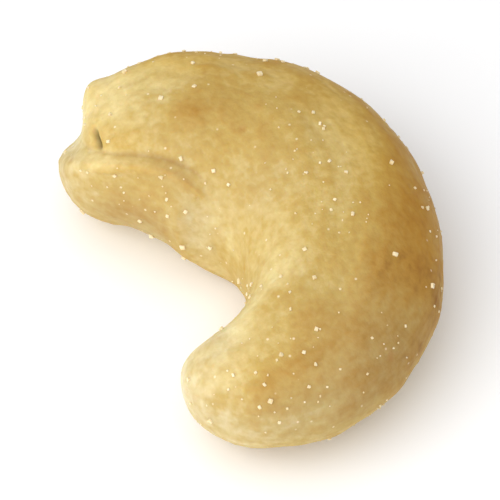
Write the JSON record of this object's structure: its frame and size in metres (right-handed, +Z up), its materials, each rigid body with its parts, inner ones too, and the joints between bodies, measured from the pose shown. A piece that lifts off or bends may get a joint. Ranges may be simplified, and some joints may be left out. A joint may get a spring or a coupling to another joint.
{
  "type": "cashew kernel",
  "caption": "Roasted, lightly salted cashew kernel without its shell: a crescent with a blunt germ end, a seam between its halves and a narrow tip, lying on its side.",
  "frame": {"origin": "on the ground, under the middle of the kernel's box", "axes": "+Z up off the flat spot it rests on; +X from the blunt germ end to the narrow tip; the hollow of the crescent opens towards -Y"},
  "size_m": [0.0266, 0.0182, 0.0101],
  "materials": {
    "kernel": "satin",
    "salt": "satin"
  },
  "bodies": {
    "root": {"kernel": "kernel"}
  },
  "joints": []
}
